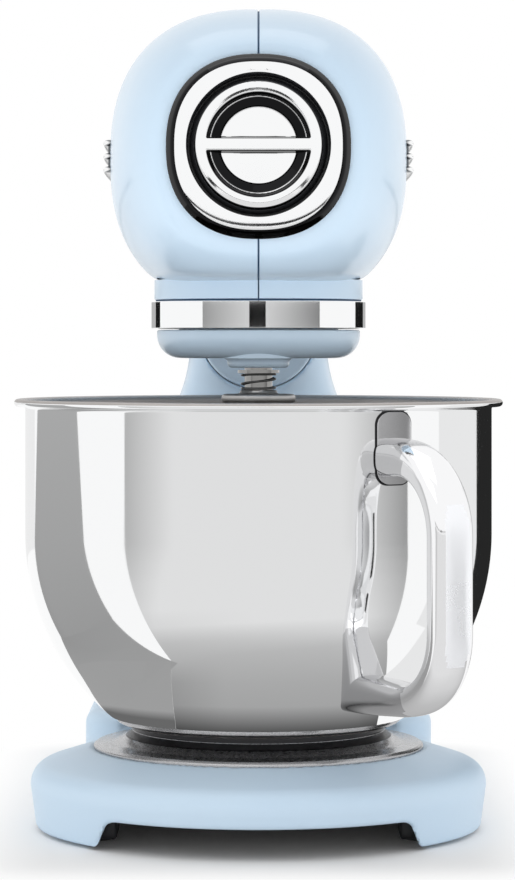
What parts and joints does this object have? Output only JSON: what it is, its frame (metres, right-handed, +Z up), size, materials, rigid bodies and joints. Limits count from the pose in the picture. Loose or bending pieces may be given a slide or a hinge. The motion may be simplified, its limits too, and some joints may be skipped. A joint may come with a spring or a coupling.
{
  "type": "stand mixer",
  "caption": "Tilt-head stand mixer with rounded pastel head, chrome neck band, polished steel bowl with handle, planetary flat beater and geared motor drive inside.",
  "frame": {"origin": "middle of the mixer's width and depth, on the table plane under the rubber feet", "axes": "+X to the right of a user who faces the bowl and badge, -Y toward that user, +Z up"},
  "size_m": [0.221, 0.4017, 0.378],
  "materials": {
    "body_paint": "glossy pastel blue enamel on die castings",
    "chrome_trim": "bright polished chrome plate",
    "bowl_steel": "mirror polished stainless steel",
    "cast_aluminium": "fine satin cast aluminium",
    "machined_steel": "ground and zinc plated steel",
    "feet_rubber": "matt black rubber",
    "dark_plastic": "matt dark grey plastic",
    "bearing_bronze": "oiled sintered bronze",
    "copper_wire": "enamelled copper wire",
    "iron_core": "pressed iron laminations",
    "gear_nylon": "natural nylon",
    "circuit_board": "green solder mask"
  },
  "bodies": {
    "base": {"base_casting": "body_paint", "base_plate": "dark_plastic", "rubber_feet": "feet_rubber", "base_screws": "machined_steel", "column_shell": "body_paint", "column_bolts": "machined_steel", "hinge_pin": "machined_steel", "pin_caps": "body_paint", "bowl_lock_plate": "dark_plastic", "lock_plate_screws": "machined_steel", "cable_gland": "dark_plastic", "release_spring": "machined_steel"},
    "release": {"release_button": "dark_plastic"},
    "bowl": {"bowl": "bowl_steel", "bowl_foot": "bowl_steel", "bowl_handle": "bowl_steel", "handle_plate": "bowl_steel"},
    "head": {"head_shell_left": "body_paint", "head_shell_right": "body_paint", "head_frame": "cast_aluminium", "hinge_tongue": "body_paint", "tongue_bolts": "machined_steel", "hinge_bushes": "bearing_bronze", "shell_screws": "machined_steel", "neck_band": "chrome_trim", "ring_gear": "machined_steel", "ring_gear_screws": "machined_steel", "gearbox_bridge": "cast_aluminium", "bridge_screws": "machined_steel", "center_bearings": "machined_steel", "countershaft_bearings": "machined_steel", "outlet_bush": "bearing_bronze", "motor_housing": "machined_steel", "motor_end_cap": "cast_aluminium", "stator": "iron_core", "stator_windings": "copper_wire", "motor_brushes": "iron_core", "motor_bearings": "machined_steel", "drive_belt": "feet_rubber", "control_board": "circuit_board", "speed_switch": "dark_plastic", "speed_scale": "chrome_trim", "side_trim_left": "chrome_trim", "side_trim_right": "chrome_trim", "front_bezel": "chrome_trim"},
    "planetary": {"planet_carrier": "body_paint", "center_shaft": "machined_steel", "center_gear": "gear_nylon", "planet_bearings": "machined_steel"},
    "spindle": {"planet_pinion": "machined_steel", "tool_shaft": "machined_steel", "shaft_washer": "machined_steel", "tool_spring": "machined_steel"},
    "beater": {"flat_beater": "cast_aluminium"},
    "rotor": {"motor_rotor": "iron_core", "motor_pulley": "machined_steel"},
    "counter": {"countershaft": "machined_steel"},
    "outlet": {"outlet_shaft": "machined_steel"},
    "lever": {"speed_lever": "chrome_trim"},
    "cover": {"outlet_cover": "chrome_trim"}
  },
  "joints": [
    {"name": "head_tilt", "type": "hinge", "parent": "base", "child": "head", "pos_m": [0, 0.105, 0.225], "axis": [-1, 0, 0], "range_deg": [0, 45]},
    {"name": "planetary_spin", "type": "hinge", "parent": "head", "child": "planetary", "pos_m": [0, -0.07, 0.23], "axis": [0, 0, 1], "continuous": true},
    {"name": "beater_spin", "type": "hinge", "parent": "planetary", "child": "spindle", "pos_m": [0, -0.0938, 0.22], "axis": [0, 0, 1], "continuous": true},
    {"name": "beater_push", "type": "slide", "parent": "spindle", "child": "beater", "axis": [0, 0, 1], "range_m": [0, 0.004], "stiffness_N_per_m": 800, "springref_m": -0.005, "deforming": ["tool_spring"]},
    {"name": "countershaft_spin", "type": "hinge", "parent": "head", "child": "counter", "pos_m": [0, -0.02625, 0.3], "axis": [0, 0, 1], "continuous": true},
    {"name": "motor_spin", "type": "hinge", "parent": "head", "child": "rotor", "pos_m": [0, 0.034, 0.3], "axis": [0, 0, 1], "continuous": true},
    {"name": "outlet_spin", "type": "hinge", "parent": "head", "child": "outlet", "pos_m": [0, -0.11, 0.302], "axis": [0, -1, 0], "continuous": true},
    {"name": "speed_slide", "type": "slide", "parent": "head", "child": "lever", "axis": [0, 1, 0], "range_m": [0, 0.04]},
    {"name": "cover_pull", "type": "slide", "parent": "head", "child": "cover", "axis": [0, -1, 0], "range_m": [0, 0.05]},
    {"name": "bowl_twist", "type": "hinge", "parent": "base", "child": "bowl", "pos_m": [0, -0.07, 0.05], "axis": [0, 0, 1], "range_deg": [-25, 0]},
    {"name": "release_press", "type": "slide", "parent": "base", "child": "release", "axis": [0, -1, 0], "range_m": [0, 0.004], "stiffness_N_per_m": 1200, "springref_m": -0.003, "deforming": ["release_spring"]}
  ],
  "couplings": [
    {"joint": "beater_spin", "follows": "planetary_spin", "ratio": -2.8889},
    {"joint": "countershaft_spin", "follows": "planetary_spin", "ratio": -4},
    {"joint": "motor_spin", "follows": "planetary_spin", "ratio": -10},
    {"joint": "outlet_spin", "follows": "planetary_spin", "ratio": 1}
  ]
}
